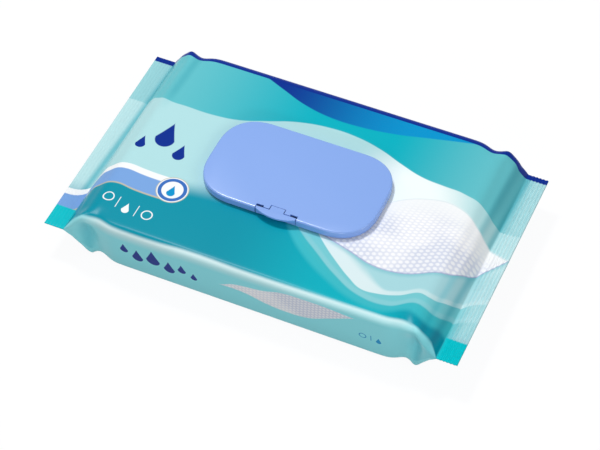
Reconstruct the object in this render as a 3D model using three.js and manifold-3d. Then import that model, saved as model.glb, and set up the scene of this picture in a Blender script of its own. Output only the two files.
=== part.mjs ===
// A soft pack of wet wipes: a printed film pouch with a crimped seal at each end, a stack of
// interfolded wipes inside it, and a moulded flip lid glued round the hole in its top panel.
// Units are millimetres. +X runs along the pack, +Y from the front long side to the back one,
// +Z up. The origin is under the pack's centre, on the surface that it lies on.
import * as THREE from "three";
import { mergeVertices } from "three/addons/utils/BufferGeometryUtils.js";
import Module from "manifold-3d";

const wasm = await Module();
wasm.setup();

// Gap left between two pieces that rest on or beside each other
const CLEARANCE = 0.3;

// Film pouch
const PACK_LENGTH = 280; // from the cut edge of one end seal to the other
const SEAL_STRIP = 13.6; // how far each end seal reaches in from its cut edge
const SEAL_SPAN = 160; // length of an end seal, which is the width of the flattened film tube
const SEAL_THICKNESS = 0.9;
const SEAL_HEIGHT = 23.4; // height of the end seals above the surface
const CRIMP_PITCH = 2.72;
const CRIMP_DEPTH = 0.35;
const BODY_HEIGHT = 42.6; // height of the flat top panel
const TOP_WIDTH = 161.5;
const BOTTOM_WIDTH = 154;
const FILM = 0.5;
const TOP_SHOULDER = 21; // length over which the top panel comes down to a seal
const BOTTOM_SHOULDER = 16;
const TOP_EDGE_RADIUS = 5;
const BOTTOM_EDGE_RADIUS = 5;

// Folds that the film takes round each end of the stack
const EAR_HEIGHT = 2.1; // peaked corner of the top panel
const EAR_PLACE = 13.2; // its distance from the seal
const EAR_SPREAD = 3.6;
const SAG_DEPTH = 1.2; // slack in the long edge beside an ear
const SAG_PLACE = 22;
const SAG_SPREAD = 5.5;
const WAIST_DEPTH = 2.4; // how far the film draws in round the ends of the stack
const WAIST_PLACE = 23;
const WAIST_SPREAD = 7;
const GUSSET_DEPTH = 5.5; // hollow in the side panel
const GUSSET_PLACE = 15.5;
const GUSSET_SPREAD = 4.5;
const LIFT_HEIGHT = 3.2; // how far a bottom edge is drawn up
const LIFT_PLACE = 20.5;
const LIFT_SPREAD = 6;
const LOBE_DEPTH = 1.6; // how far it hangs down again between there and the seal
const LOBE_PLACE = 14;
const LOBE_SPREAD = 3;
const FOLD_REACH = 12; // how far these folds reach in from a long edge

// Back seam: a fin seal that lies folded flat under the bottom panel
const FIN_WIDTH = 11.5;
const FIN_THICKNESS = 0.5;
const FIN_RECESS = 0.9; // the wipes give way over the fin, so that the pack lies flat
const FIN_RECESS_HALF = 13;
const FIN_RECESS_SLOPE = 5;

// Stack of wipes: sheets folded in half and interleaved
const WIPE_LENGTH = 220;
const WIPE_WIDTH = 290;
const WIPE_COUNT = 80;
const FOLD_STAGGER = 6; // the folds don't all line up, so that the stack is wider than one sheet
const STACK_SLACK = 1.1; // room between the stack and the film above it
const STACK_EDGE_RADIUS = 5;
const FOLD_NOTCH = 0.35; // depth of the groove between two folds
const LEADING_EDGE = 7; // where the free edge of the top wipe lies behind the centre line
const WIPE_THICKNESS = 0.5;

// Flip lid
const LID_LENGTH = 117;
const LID_WIDTH = 68.5;
const LID_CORNER_LENGTH = 30; // the corner is a superellipse of these two half axes
const LID_CORNER_WIDTH = 26;
const LID_CORNER_POWER = 2.3;
const LID_HEIGHT = 6; // above the film
const LID_PLATE = 1.3;
const LID_SKIRT = 1.2;
const LID_EDGE_RADIUS = 2;
const SKIRT_GAP = 0.8; // between the skirt and the frame inside it, so that the lid can swing
const PLUG_DEPTH = 2.2; // ring under the lid that closes round the collar
const PLUG_WALL = 1;
const PLUG_GAP = 0.4;

// Frame glued to the film
const GLUE = 0.3;
const FLANGE = 1.2;
const OPENING_LENGTH = 66;
const OPENING_WIDTH = 32;
const OPENING_CORNER_LENGTH = 20;
const OPENING_CORNER_WIDTH = 14;
const COLLAR_WALL = 1.2;
const FILM_HOLE_MARGIN = 3;
const RIM_INSET = 1.6; // from the flange's edge to the stiffening rim
const RIM_WALL = 1;
const RIM_HEIGHT = 1.5;

const HINGE_LENGTH = 44; // of the film hinge at the back of the lid

// Thumb latch in the front edge of the lid
const NOTCH_WIDTH = 28;
const NOTCH_DEPTH = 2.35;
const NOTCH_STEP = 18; // beyond this width the slot beside the latch is wider
const SLOT = 0.4;
const WIDE_SLOT = 0.75;
const TONGUE_WIDTH = 9.2;
const TONGUE_LENGTH = 3.4;
const LIP_REACH = 3.4; // how far the thumb lip stands out past the skirt
const APRON_WALL = 1;
const APRON_RECESS = 0.35;
const CATCH_WIDTH = 16;
const CATCH_GAP = 0.1; // the catch stops this far short of the hook
const HOOK_REACH = 0.5;

// Heights that several pieces share
const stackBottom = FIN_RECESS + FILM + CLEARANCE;
const stackTop = BODY_HEIGHT - FILM - STACK_SLACK;
const flangeBottom = BODY_HEIGHT + GLUE;
const flangeTop = flangeBottom + FLANGE;
const lidTop = BODY_HEIGHT + LID_HEIGHT;
const lidUnderside = lidTop - LID_PLATE;
const skirtBottom = BODY_HEIGHT + CLEARANCE;
const sealLine = PACK_LENGTH / 2 - SEAL_STRIP;

// A closed three.js geometry as a manifold solid.
function solidOf(geometry) {
  const bare = geometry.clone();
  bare.deleteAttribute("normal");
  bare.deleteAttribute("uv");
  const merged = mergeVertices(bare, 1e-4);
  return new wasm.Manifold(
    new wasm.Mesh({
      numProp: 3,
      vertProperties: merged.attributes.position.array,
      triVerts: new Uint32Array(merged.index.array),
    }),
  );
}

function geometryOf(solid) {
  const { vertProperties, triVerts } = solid.getMesh();
  const geometry = new THREE.BufferGeometry();
  geometry.setAttribute("position", new THREE.BufferAttribute(vertProperties, 3));
  geometry.setIndex(new THREE.BufferAttribute(triVerts, 1));
  geometry.computeVertexNormals();
  return geometry;
}

// Skins rings of equal length and closes both ends. Each ring turns right-handed about the
// direction in which the rings follow each other.
function loft(rings) {
  const size = rings[0].length;
  const points = rings.flat();
  const index = [];
  for (let i = 0; i + 1 < rings.length; i++) {
    for (let j = 0; j < size; j++) {
      const a = i * size + j;
      const b = i * size + ((j + 1) % size);
      index.push(a, b, b + size, a, b + size, a + size);
    }
  }
  const centre = (ring) =>
    ring.reduce((sum, p) => sum.add(p), new THREE.Vector3()).divideScalar(ring.length);
  const first = points.length;
  const last = first + 1;
  points.push(centre(rings[0]), centre(rings[rings.length - 1]));
  const lastRing = (rings.length - 1) * size;
  for (let j = 0; j < size; j++) {
    const next = (j + 1) % size;
    index.push(first, next, j, last, lastRing + j, lastRing + next);
  }
  const geometry = new THREE.BufferGeometry().setFromPoints(points);
  geometry.setIndex(index);
  return geometry;
}

// Extrudes an outline in X and Y from one height to another.
function slab(outline, bottom, top) {
  const depth = top - bottom;
  const geometry = new THREE.ExtrudeGeometry(new THREE.Shape(outline), {
    depth,
    bevelEnabled: false,
  });
  return solidOf(geometry.translate(0, 0, bottom));
}

// Extrudes an outline drawn in Y and Z along X, centred on the YZ plane.
function bar(outline, length) {
  const geometry = new THREE.ExtrudeGeometry(new THREE.Shape(outline), {
    depth: length,
    bevelEnabled: false,
  });
  geometry.translate(0, 0, -length / 2);
  geometry.applyMatrix4(new THREE.Matrix4().set(0, 0, 1, 0, 1, 0, 0, 0, 0, 1, 0, 0, 0, 0, 0, 1));
  return solidOf(geometry);
}

function box(x0, x1, y0, y1, z0, z1) {
  const geometry = new THREE.BoxGeometry(x1 - x0, y1 - y0, z1 - z0);
  return solidOf(geometry.translate((x0 + x1) / 2, (y0 + y1) / 2, (z0 + z1) / 2));
}

const ease = (t) => THREE.MathUtils.smoothstep(t, 0, 1);
const bump = (value, place, spread) => Math.exp(-(((value - place) / spread) ** 2));

// An outline with straight sides and superellipse corners, anticlockwise.
function softRectangle(length, width, cornerLength, cornerWidth, power, inset, segments) {
  const halfLength = length / 2 - inset;
  const halfWidth = width / 2 - inset;
  const a = cornerLength - inset;
  const b = cornerWidth - inset;
  const corner = [];
  for (let i = 0; i <= segments; i++) {
    const angle = (i / segments) * (Math.PI / 2);
    const x = halfLength - a + a * Math.cos(angle) ** (2 / power);
    const y = halfWidth - b + b * Math.sin(angle) ** (2 / power);
    corner.push([x, y]);
  }
  const back = [...corner].reverse();
  return [
    ...corner.map(([x, y]) => new THREE.Vector2(x, y)),
    ...back.map(([x, y]) => new THREE.Vector2(-x, y)),
    ...corner.map(([x, y]) => new THREE.Vector2(-x, -y)),
    ...back.map(([x, y]) => new THREE.Vector2(x, -y)),
  ];
}

function lidOutline(inset) {
  return softRectangle(
    LID_LENGTH,
    LID_WIDTH,
    LID_CORNER_LENGTH,
    LID_CORNER_WIDTH,
    LID_CORNER_POWER,
    inset,
    10,
  );
}

// The outline of the dispensing opening, made larger by a margin.
function openingOutline(margin) {
  return softRectangle(
    OPENING_LENGTH,
    OPENING_WIDTH,
    OPENING_CORNER_LENGTH,
    OPENING_CORNER_WIDTH,
    LID_CORNER_POWER,
    -margin,
    8,
  );
}

// A wall that stands on one outline and encloses another.
function ringWall(outer, inner, bottom, top) {
  return slab(outer, bottom, top).subtract(slab(inner, bottom - 1, top + 1));
}

// How far the top and the bottom panel have opened at a distance from the seal: 1 is fully.
const topOpening = (distance) => 1 - (1 - Math.min(distance / TOP_SHOULDER, 1)) ** 2.2;
const bottomOpening = (distance) => 1 - (1 - Math.min(distance / BOTTOM_SHOULDER, 1)) ** 1.1;

// How the film stands at a distance x along the pack, drawn in by an inset.
function filmAt(x, inset) {
  const fromSeal = Math.max(sealLine - Math.abs(x), 0);
  const fromWall = Math.max(fromSeal - inset, 0);
  const topShare = topOpening(fromWall);
  const bottomShare = bottomOpening(fromWall);
  const half = SEAL_THICKNESS / 3;
  const span = SEAL_SPAN - 3 * SEAL_THICKNESS;
  const mix = THREE.MathUtils.lerp;
  const top = SEAL_HEIGHT + mix(half, BODY_HEIGHT - SEAL_HEIGHT, topShare) - inset;
  const bottom = SEAL_HEIGHT - mix(half, SEAL_HEIGHT, bottomShare) + inset;
  const most = (top - bottom) * 0.3;
  const waist = WAIST_DEPTH * bump(fromSeal, WAIST_PLACE, WAIST_SPREAD);
  return {
    top,
    bottom,
    topHalf: mix(span, TOP_WIDTH, ease(topOpening(fromSeal))) / 2 - waist - inset,
    bottomHalf: mix(span, BOTTOM_WIDTH, ease(bottomOpening(fromSeal))) / 2 - waist - inset,
    topRadius: Math.min(TOP_EDGE_RADIUS - inset, most),
    bottomRadius: Math.min(BOTTOM_EDGE_RADIUS - inset, most),
    ear: EAR_HEIGHT * bump(fromSeal, EAR_PLACE, EAR_SPREAD),
    sag: SAG_DEPTH * bump(fromSeal, SAG_PLACE, SAG_SPREAD),
    gusset: GUSSET_DEPTH * bump(fromSeal, GUSSET_PLACE, GUSSET_SPREAD),
    lift:
      LIFT_HEIGHT * bump(fromSeal, LIFT_PLACE, LIFT_SPREAD) -
      LOBE_DEPTH * bump(fromSeal, LOBE_PLACE, LOBE_SPREAD),
    recess: FIN_RECESS * ease(bottomShare),
  };
}

// One closed section of the film tube at x, as points that turn right-handed about +X.
function filmSection(x, inset) {
  const f = filmAt(x, inset);
  const edge = (y, half) => ease((y - half + FOLD_REACH) / FOLD_REACH);
  const half = [];
  const bottomRun = f.bottomHalf - f.bottomRadius;
  const flatStart = FIN_RECESS_HALF + FIN_RECESS_SLOPE;
  for (const y of [0, FIN_RECESS_HALF, FIN_RECESS_HALF + FIN_RECESS_SLOPE / 2, flatStart]) {
    half.push([y, f.bottom + f.recess * (1 - ease((y - FIN_RECESS_HALF) / FIN_RECESS_SLOPE))]);
  }
  for (const share of [0.5, 0.75, 0.9]) {
    half.push([THREE.MathUtils.lerp(flatStart, bottomRun, share), f.bottom]);
  }
  const arcSteps = 4;
  for (let i = 0; i <= arcSteps; i++) {
    const angle = (i / arcSteps - 1) * (Math.PI / 2);
    half.push([
      bottomRun + f.bottomRadius * Math.cos(angle),
      f.bottom + f.bottomRadius * (1 + Math.sin(angle)),
    ]);
  }
  const sideSteps = 5;
  const sideBottom = f.bottom + f.bottomRadius;
  const sideTop = f.top - f.topRadius;
  for (let i = 1; i < sideSteps; i++) {
    const share = i / sideSteps;
    half.push([
      THREE.MathUtils.lerp(f.bottomHalf, f.topHalf, share),
      THREE.MathUtils.lerp(sideBottom, sideTop, share),
    ]);
  }
  const topRun = f.topHalf - f.topRadius;
  for (let i = 0; i <= arcSteps; i++) {
    const angle = (i / arcSteps) * (Math.PI / 2);
    half.push([topRun + f.topRadius * Math.cos(angle), sideTop + f.topRadius * Math.sin(angle)]);
  }
  for (const share of [0.92, 0.84, 0.6, 0.3, 0]) {
    half.push([topRun * share, f.top]);
  }
  const folded = half.map(([y, z]) => {
    const height = (z - f.bottom) / (f.top - f.bottom);
    const up = ease((height - 0.5) * 2);
    const down = ease((0.5 - height) * 2);
    const hollow = f.gusset * ease(y / f.topHalf) * Math.sin(Math.PI * height) ** 2;
    return [
      y - (y > topRun - FOLD_REACH ? hollow : 0),
      z +
        (f.ear - f.sag) * up * edge(y, f.topHalf) +
        f.lift * down * edge(y, f.bottomHalf),
    ];
  });
  const mirrored = folded.slice(1, -1).reverse();
  return [
    ...folded.map(([y, z]) => new THREE.Vector3(x, y, z)),
    ...mirrored.map(([y, z]) => new THREE.Vector3(x, -y, z)),
  ];
}

// Places along the pack: close together over the folded ends, far apart on the flat middle.
function stations() {
  const folds = sealLine - WAIST_PLACE - 2 * WAIST_SPREAD;
  const endSteps = 13;
  const middleSteps = 2;
  const half = [];
  for (let i = 0; i <= middleSteps; i++) {
    half.push((folds * i) / middleSteps);
  }
  for (let i = 1; i <= endSteps; i++) {
    half.push(THREE.MathUtils.lerp(folds, sealLine, i / endSteps));
  }
  return [...half.slice(1).reverse().map((x) => -x), ...half];
}

// The body of the pack, drawn in by an inset on every side.
function filmBody(inset) {
  const places = stations().filter((x) => sealLine - Math.abs(x) >= 2 * inset);
  return solidOf(loft(places.map((x) => filmSection(x, inset))));
}

// The crimped end seal: both films pressed together between ribbed jaws.
function endSeal(side) {
  const inner = sealLine - 1.5;
  const crimped = sealLine + 0.8;
  const outer = PACK_LENGTH / 2;
  const steps = 22;
  const wave = (x) =>
    CRIMP_DEPTH *
    Math.sin(((x - crimped) / CRIMP_PITCH) * 2 * Math.PI) *
    ease(Math.max(x - crimped, 0) / CRIMP_PITCH);
  const top = [];
  const bottom = [];
  for (let i = -1; i <= steps; i++) {
    const x = i < 0 ? inner : THREE.MathUtils.lerp(crimped, outer, i / steps);
    top.push(new THREE.Vector2(x, SEAL_HEIGHT + wave(x) + SEAL_THICKNESS / 2));
    bottom.push(new THREE.Vector2(x, SEAL_HEIGHT + wave(x) - SEAL_THICKNESS / 2));
  }
  const profile = [...bottom, ...top.reverse()];
  const geometry = new THREE.ExtrudeGeometry(new THREE.Shape(profile), {
    depth: SEAL_SPAN,
    bevelEnabled: false,
  });
  geometry.rotateX(Math.PI / 2);
  geometry.translate(0, SEAL_SPAN / 2, 0);
  if (side < 0) {
    geometry.rotateZ(Math.PI);
  }
  return solidOf(geometry);
}

// The fin seal: a flap that hangs from the bottom panel and lies folded to one side of its root.
function finSeal() {
  const root = 1.2;
  const places = stations();
  const finEnd = PACK_LENGTH / 2 - SEAL_THICKNESS;
  places.unshift(-finEnd);
  places.push(finEnd);
  const rings = places.map((x) => {
    const f = filmAt(x, 0);
    const film = f.bottom + f.recess;
    const flap = film - FIN_RECESS;
    return [
      [0, flap],
      [FIN_WIDTH, flap],
      [FIN_WIDTH, flap + FIN_THICKNESS],
      [root, flap + FIN_THICKNESS],
      [root, film + FILM / 2],
      [0, film + FILM / 2],
    ].map(([y, z]) => new THREE.Vector3(x, y, z));
  });
  return solidOf(loft(rings));
}

function filmPouch() {
  const hole = slab(openingOutline(FILM_HOLE_MARGIN), stackTop, BODY_HEIGHT + 1);
  return filmBody(0)
    .subtract(filmBody(FILM))
    .add(endSeal(-1))
    .add(endSeal(1))
    .add(finSeal())
    .subtract(hole);
}

// The folded edges of the wipes on one side, from the bottom up: each fold is a rounded ridge.
function foldedEdge(side) {
  const folds = WIPE_COUNT / 2;
  const height = stackTop - stackBottom;
  const half = (WIPE_WIDTH / 2 + FOLD_STAGGER) / 2;
  const points = [];
  for (let i = 0; i <= 2 * folds; i++) {
    const rise = (i / (2 * folds)) * height;
    const fromEnd = Math.min(rise, height - rise, STACK_EDGE_RADIUS);
    const round = STACK_EDGE_RADIUS - fromEnd;
    const drawnIn = STACK_EDGE_RADIUS - Math.sqrt(STACK_EDGE_RADIUS ** 2 - round ** 2);
    const groove = i % 2 ? 0 : FOLD_NOTCH;
    points.push(new THREE.Vector2(side * (half - drawnIn - groove), stackBottom + rise));
  }
  return points;
}

// The stack of interfolded wipes. Its top wipe ends in a free edge that lies across the opening.
function wipeStack() {
  const front = foldedEdge(-1).reverse();
  const back = foldedEdge(1);
  const profile = bar([...back, ...front], WIPE_LENGTH);
  const top = box(
    -WIPE_LENGTH / 2 - 1,
    WIPE_LENGTH / 2 + 1,
    LEADING_EDGE,
    WIPE_WIDTH / 4 + FOLD_STAGGER,
    stackTop - WIPE_THICKNESS,
    stackTop + 1,
  );
  return profile.subtract(top).intersect(filmBody(FILM + CLEARANCE));
}

// A block with the lid's outline whose top edge is rounded.
function lidBlock(inset, bottom, top, radius) {
  const steps = 5;
  const ring = (draw, z) => lidOutline(draw).map((p) => new THREE.Vector3(p.x, p.y, z));
  const rings = [ring(inset, bottom)];
  for (let i = 0; i <= steps; i++) {
    const angle = (i / steps) * (Math.PI / 2);
    rings.push(
      ring(inset + radius * (1 - Math.cos(angle)), top - radius * (1 - Math.sin(angle))),
    );
  }
  return solidOf(loft(rings));
}

// The opening in the lid's front edge that the thumb latch fills: wide slots at its outer
// corners, and a pocket for the tongue.
function latchNotch() {
  const front = -LID_WIDTH / 2 - LIP_REACH;
  const back = -LID_WIDTH / 2 + NOTCH_DEPTH;
  const widened = back + WIDE_SLOT - SLOT;
  const pocket = back + TONGUE_LENGTH;
  const right = [
    [NOTCH_WIDTH / 2, front],
    [NOTCH_WIDTH / 2, widened],
    [NOTCH_STEP / 2, widened],
    [NOTCH_STEP / 2, back],
    [TONGUE_WIDTH / 2 + SLOT, back],
    [TONGUE_WIDTH / 2 + SLOT, pocket],
  ];
  const left = [...right].reverse().map(([x, y]) => [-x, y]);
  return [...right, ...left].map(([x, y]) => new THREE.Vector2(x, y));
}

function lidCover() {
  const shell = lidBlock(0, skirtBottom, lidTop, LID_EDGE_RADIUS).subtract(
    lidBlock(LID_SKIRT, skirtBottom - 1, lidUnderside, LID_EDGE_RADIUS / 2),
  );
  const plugInner = COLLAR_WALL + PLUG_GAP;
  const plug = ringWall(
    openingOutline(plugInner + PLUG_WALL),
    openingOutline(plugInner),
    lidUnderside - PLUG_DEPTH,
    lidUnderside + LID_PLATE / 2,
  );
  const notch = slab(latchNotch(), skirtBottom - 1, lidTop + 1);
  const hingeCut = box(
    -HINGE_LENGTH / 2 - SLOT,
    HINGE_LENGTH / 2 + SLOT,
    LID_WIDTH / 2 - LID_SKIRT - 1,
    LID_WIDTH / 2 + 1,
    skirtBottom - 1,
    flangeTop + CLEARANCE,
  );
  return shell.add(plug).subtract(notch).subtract(hingeCut);
}

// The latch is a T-shaped plate flush with the lid: a lens-shaped thumb lip, a tongue whose end
// is the film hinge to the lid, and an apron below the lip that hooks on the frame.
function thumbLatch() {
  const skirt = -LID_WIDTH / 2;
  const back = skirt + NOTCH_DEPTH - SLOT;
  const half = NOTCH_WIDTH / 2 - SLOT;
  const tongueEnd = skirt + NOTCH_DEPTH + TONGUE_LENGTH - CLEARANCE;
  const radius = (half ** 2 + LIP_REACH ** 2) / (2 * LIP_REACH);
  const centre = skirt - LIP_REACH + radius;
  const swing = Math.asin(half / radius);
  const steps = 14;
  const lip = [];
  for (let i = 0; i <= steps; i++) {
    const angle = THREE.MathUtils.lerp(-swing, swing, i / steps) - Math.PI / 2;
    lip.push([radius * Math.cos(angle), centre + radius * Math.sin(angle)]);
  }
  const outline = [
    ...lip,
    [half, back],
    [TONGUE_WIDTH / 2, back],
    [TONGUE_WIDTH / 2, tongueEnd],
    [-TONGUE_WIDTH / 2, tongueEnd],
    [-TONGUE_WIDTH / 2, back],
    [-half, back],
  ].map(([x, y]) => new THREE.Vector2(x, y));
  const apronFront = skirt + APRON_RECESS;
  const apronBack = apronFront + APRON_WALL;
  const apron = box(
    -half,
    half,
    apronFront,
    apronBack,
    skirtBottom + CLEARANCE,
    lidUnderside + LID_PLATE / 2,
  );
  const hook = bar(
    [
      [apronBack - APRON_WALL / 2, flangeTop + 3 * HOOK_REACH],
      [apronBack - APRON_WALL / 2, flangeTop - HOOK_REACH],
      [apronBack, flangeTop - HOOK_REACH],
      [apronBack + HOOK_REACH, flangeTop + HOOK_REACH / 2],
      [apronBack, flangeTop + HOOK_REACH],
    ].map(([y, z]) => new THREE.Vector2(y, z)),
    CATCH_WIDTH,
  );
  return slab(outline, lidUnderside, lidTop).add(apron).add(hook);
}

function lidFrame() {
  const edge = LID_SKIRT + SKIRT_GAP;
  const collarTop = lidUnderside - CLEARANCE;
  const flange = slab(lidOutline(edge), flangeBottom, flangeTop);
  const hingePlate = box(
    -HINGE_LENGTH / 2,
    HINGE_LENGTH / 2,
    LID_WIDTH / 2 - edge - 1,
    LID_WIDTH / 2,
    flangeBottom,
    flangeTop,
  );
  const rimOuter = edge + RIM_INSET;
  const rim = ringWall(
    lidOutline(rimOuter),
    lidOutline(rimOuter + RIM_WALL),
    flangeTop - FLANGE / 2,
    flangeTop + RIM_HEIGHT,
  );
  const collar = slab(openingOutline(COLLAR_WALL), flangeBottom, collarTop);
  const opening = slab(openingOutline(0), flangeBottom - 1, collarTop + 1);
  const latchFront = -LID_WIDTH / 2 + APRON_RECESS + APRON_WALL;
  const latchRoom = box(
    -NOTCH_WIDTH / 2,
    NOTCH_WIDTH / 2,
    -LID_WIDTH / 2,
    latchFront + 2 * HOOK_REACH,
    flangeBottom - 1,
    flangeTop + 1,
  );
  const rimFront = -LID_WIDTH / 2 + rimOuter;
  const catchTop = flangeTop + RIM_HEIGHT;
  const nose = bar(
    [
      [rimFront + RIM_WALL / 2, catchTop],
      [rimFront, catchTop],
      [latchFront + HOOK_REACH + CATCH_GAP, flangeTop + 1.6 * HOOK_REACH],
      [rimFront, flangeTop + HOOK_REACH],
      [rimFront + RIM_WALL / 2, flangeTop + HOOK_REACH],
    ].map(([y, z]) => new THREE.Vector2(y, z)),
    CATCH_WIDTH,
  );
  return flange
    .add(hingePlate)
    .subtract(latchRoom)
    .add(rim)
    .add(nose)
    .add(collar)
    .subtract(opening);
}

const filmFinish = new THREE.MeshStandardMaterial({ color: 0x7cc9cf, roughness: 0.35, metalness: 0 });
const wipeFinish = new THREE.MeshStandardMaterial({ color: 0xf4f7f8, roughness: 0.9, metalness: 0 });
const lidFinish = new THREE.MeshStandardMaterial({ color: 0x8fb2f0, roughness: 0.4, metalness: 0 });

function piece(name, solid, material) {
  const mesh = new THREE.Mesh(geometryOf(solid), material);
  mesh.name = name;
  return mesh;
}

const wetWipesPack = new THREE.Group();
wetWipesPack.add(piece("film_pouch", filmPouch(), filmFinish));
wetWipesPack.add(piece("wipe_stack", wipeStack(), wipeFinish));
wetWipesPack.add(piece("lid_frame", lidFrame(), lidFinish));
wetWipesPack.add(piece("lid_cover", lidCover(), lidFinish));
wetWipesPack.add(piece("thumb_latch", thumbLatch(), lidFinish));

export default wetWipesPack;
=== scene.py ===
"""A soft pack of wet wipes with a flip lid, dressed for rendering.

The printed film is shaped as a sheet round the stack of wipes. The lid, its frame and its latch
are modelled as mouldings. All lengths are in metres.
"""

import math
from types import SimpleNamespace

import bpy
from mathutils import Matrix, Vector, noise


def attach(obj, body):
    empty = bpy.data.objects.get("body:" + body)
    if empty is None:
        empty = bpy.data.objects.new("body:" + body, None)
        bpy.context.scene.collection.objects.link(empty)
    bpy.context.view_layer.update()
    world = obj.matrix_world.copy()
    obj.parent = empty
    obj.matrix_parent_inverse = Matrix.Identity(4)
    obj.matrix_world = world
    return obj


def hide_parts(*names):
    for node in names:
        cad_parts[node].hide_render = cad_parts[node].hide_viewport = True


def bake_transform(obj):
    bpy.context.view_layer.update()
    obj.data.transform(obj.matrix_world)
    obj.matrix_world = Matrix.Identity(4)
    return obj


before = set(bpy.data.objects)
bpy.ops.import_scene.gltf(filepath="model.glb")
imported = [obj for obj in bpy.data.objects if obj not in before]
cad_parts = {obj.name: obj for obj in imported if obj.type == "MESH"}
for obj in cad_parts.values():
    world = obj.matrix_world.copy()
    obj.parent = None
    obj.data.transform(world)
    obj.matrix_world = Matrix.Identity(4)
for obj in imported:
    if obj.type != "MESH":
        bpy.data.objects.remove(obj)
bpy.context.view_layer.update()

scene = bpy.context.scene
mm = 0.001
MERGE_DISTANCE = 0.002 * mm
HEIGHT_TOLERANCE = 0.01 * mm

# Pack
PACK_LENGTH = 280 * mm
SEAL_STRIP = 13.6 * mm
SEAL_SPAN = 160 * mm
SEAL_HEIGHT = 23.4 * mm
SEAL_THICKNESS = 0.8 * mm
CRIMP_PITCH = 2.27 * mm
CRIMP_DEPTH = 0.26 * mm
LEFT_CRIMP_SHARE = 0.2
BODY_HEIGHT = 42.6 * mm
TOP_WIDTH = 161.5 * mm
BOTTOM_WIDTH = 154 * mm
TOP_SHOULDER = 21 * mm
BOTTOM_SHOULDER = 16 * mm
TOP_SLOPE_POWER = 2.2
BOTTOM_SLOPE_POWER = 1.1
TOP_EDGE_RADIUS = 5 * mm
BOTTOM_EDGE_RADIUS = 5 * mm
RADIUS_SHARE = 0.3
SEAL_LINE = PACK_LENGTH / 2 - SEAL_STRIP
CRIMP_START = SEAL_LINE + 0.8 * mm

# Folds in the film, each with its size, its distance from the seal and its spread
EAR = (2.1 * mm, 13.2 * mm, 3.6 * mm)
SAG = (1.2 * mm, 22 * mm, 5.5 * mm)
WAIST = (2.4 * mm, 23 * mm, 7 * mm)
GUSSET = (5.5 * mm, 15.5 * mm, 5 * mm)
LIFT = (3.2 * mm, 20.5 * mm, 6 * mm)
LOBE = (1.6 * mm, 14 * mm, 3 * mm)
ROLL = (0.5 * mm, 7.5 * mm, 2.2 * mm)
HOLLOW = (0.45 * mm, 12 * mm, 2.6 * mm)
FOLD_REACH = 12 * mm

# Steps of half a film section, from the middle of the bottom to the middle of the top
RECESS_STEPS = 12
BOTTOM_STEPS = 14
LOW_EDGE_STEPS = 6
SIDE_STEPS = 14
HIGH_EDGE_STEPS = 8
TOP_STEPS = 36
SIDE_START = RECESS_STEPS + BOTTOM_STEPS + LOW_EDGE_STEPS
SIDE_END = SIDE_START + SIDE_STEPS

# Steps along half of the pack
FOLDED_LENGTH = 38 * mm
MIDDLE_STEPS = 44
FOLDED_STEPS = 56
SEAL_STEPS = 44

# Unevenness of the film: its waves to a metre and their height
SOFT_WAVES = 22
SOFT_HEIGHT = 0.10 * mm
GATHERS_ALONG = 35
GATHERS_ACROSS = 130
GATHERS = (0.2 * mm, 9 * mm, 11 * mm)
SMOOTH_BY_SEAL = 4 * mm
SIDE_HALF_WIDTH = 70 * mm
SIDE_HALF_HEIGHT = 12 * mm

# Hole in the film below the lid
FILM_HOLE_HALF_LENGTH = 36 * mm
FILM_HOLE_HALF_WIDTH = 19 * mm

# Fin seal under the pack
FIN_WIDTH = 11.5 * mm
FIN_THICKNESS = 0.35 * mm
FIN_ROOT = 1.2 * mm
FIN_GAP = 0.05 * mm
FIN_EDGE_WAVES = 30
FIN_EDGE_HEIGHT = 0.6 * mm
FIN_RECESS = 0.9 * mm
FIN_RECESS_HALF = 13 * mm
FIN_RECESS_SLOPE = 5 * mm

# Stack of wipes
STACK_LENGTH = 220 * mm
STACK_WIDTH = 151 * mm
STACK_BOTTOM = 1.7 * mm
STACK_TOP = 41.0 * mm
STACK_FOLDS = 40
STACK_EDGE_RADIUS = 5 * mm
FOLD_NOTCH = 0.4 * mm
STACK_SECTIONS = 72
STACK_TOP_STEPS = 30
WIPE_THICKNESS = 0.5 * mm
WIPE_WAVES = 28
WIPE_WAVE_HEIGHT = 0.7 * mm
WIPE_HIGHEST_WAVE = 0.3 * mm
LEADING_EDGE = 7 * mm
LEADING_EDGE_STEP = 0.15 * mm
CURL_HEIGHT = 1.1 * mm
CURL_HALF_WIDTH = 6 * mm
CURL_HALF_LENGTH = 26 * mm
STACK_PLAY = 1.0 * mm

# Lid
LID_LENGTH = 117 * mm
LID_WIDTH = 68.5 * mm
LID_CORNER = 28 * mm
CORNER_SEGMENTS = 14
CORNER_PROFILE = 0.56
LID_TOP = 48.6 * mm
LID_PLATE = 1.3 * mm
LID_SKIRT = 1.2 * mm
LID_EDGE_RADIUS = 1.3 * mm
LID_EDGE_STEPS = 7
SKIRT_BOTTOM = 43.1 * mm
SKIRT_ROUNDING = 1.05 * mm
SKIRT_ROUNDING_STEPS = 5
HINGE_LENGTH = 44 * mm
HINGE_ROOT_DEPTH = 5 * mm
HINGE_CUTS = 9
HINGE_BEHIND_LID = 0.2 * mm
HINGE_ABOVE_FLANGE = 0.15 * mm
PLUG_DEPTH = 2.2 * mm
PLUG_GAP = 0.4 * mm

# Lid frame
FLANGE_BOTTOM = 42.9 * mm
FLANGE_TOP = 44.1 * mm
FLANGE_INSET = 2.0 * mm
RIM_INSET = 3.6 * mm
RIM_WALL = 1.0 * mm
RIM_HEIGHT = 1.5 * mm
COLLAR_WALL = 1.2 * mm
OPENING_LENGTH = 66 * mm
OPENING_WIDTH = 32 * mm
OPENING_CORNER = 15 * mm
CATCH_WIDTH = 16 * mm
CATCH_REACH = 1.6 * mm
CATCH_HEIGHT = 0.9 * mm
RIM_ROOT = 0.4 * mm

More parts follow.
